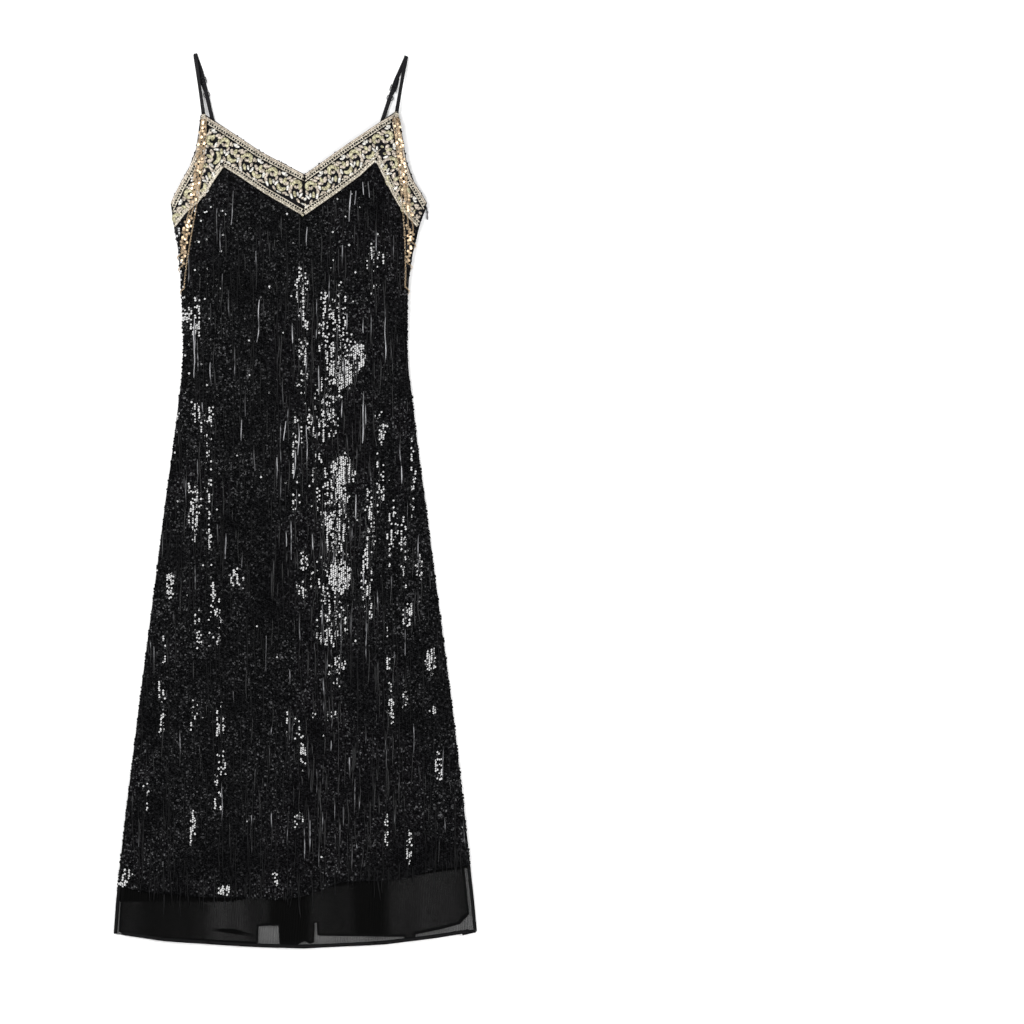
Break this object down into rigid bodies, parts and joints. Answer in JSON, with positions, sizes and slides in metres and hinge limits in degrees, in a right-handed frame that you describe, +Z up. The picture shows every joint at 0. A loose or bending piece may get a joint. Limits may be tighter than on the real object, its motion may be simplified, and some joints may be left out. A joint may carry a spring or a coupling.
{
  "type": "spaghetti strap dress",
  "caption": "Long black sequinned slip dress with thin adjustable straps, gold scroll ribbon, side chains and a sheer hem, laid flat.",
  "frame": {"origin": "centre of the bounding box, on the surface that the dress lies on", "axes": "+Y from the hem to the straps, +X to the right of the front as seen, +Z up out of the front"},
  "size_m": [0.5449, 1.3452, 0.014],
  "materials": {
    "sequin_net": "black net closely sewn with small glossy black sequins and beads",
    "bead_fringe": "glossy black thread and bugle-bead strands on narrow tape",
    "chiffon": "sheer black chiffon",
    "satin": "black satin",
    "gold_ribbon": "woven ribbon with pale gold and silver scrolls on black",
    "gold_chain": "bright gold-coloured fine chain with small discs",
    "black_metal": "glossy black lacquered strap slider and ring",
    "zip_metal": "silver-coloured zip slider and pull"
  },
  "bodies": {
    "dress": {"front_panel": "sequin_net", "back_panel": "sequin_net", "back_binding": "satin", "front_lining": "satin", "underskirt_front": "chiffon", "underskirt_back": "chiffon", "slip_front": "chiffon", "slip_back": "chiffon", "trim_neck_left": "gold_ribbon", "trim_neck_right": "gold_ribbon", "trim_armhole_left": "gold_ribbon", "trim_armhole_right": "gold_ribbon", "strap_left": "satin", "strap_right": "satin", "strap_tab_left": "satin", "strap_tab_right": "satin", "slider_left": "black_metal", "slider_right": "black_metal", "ring_left": "black_metal", "ring_right": "black_metal", "chain_left_outer": "gold_chain", "chain_left_inner": "gold_chain", "chain_left_long": "gold_chain", "chain_right_outer": "gold_chain", "chain_right_inner": "gold_chain", "chain_right_long": "gold_chain", "chain_link_left": "gold_chain", "chain_link_right": "gold_chain", "fringe_bust": "bead_fringe", "fringe_waist": "bead_fringe", "fringe_hip": "bead_fringe", "fringe_thigh": "bead_fringe", "fringe_calf": "bead_fringe", "fringe_hem": "bead_fringe", "zip_slider": "zip_metal"},
    "zip_pull": {"zip_pull": "zip_metal"}
  },
  "joints": [
    {"name": "zip_pull_swing", "type": "hinge", "parent": "dress", "child": "zip_pull", "pos_m": [0.1977, 0.43075, 0.00145], "axis": [0, 0, 1], "range_deg": [0, 140]}
  ]
}
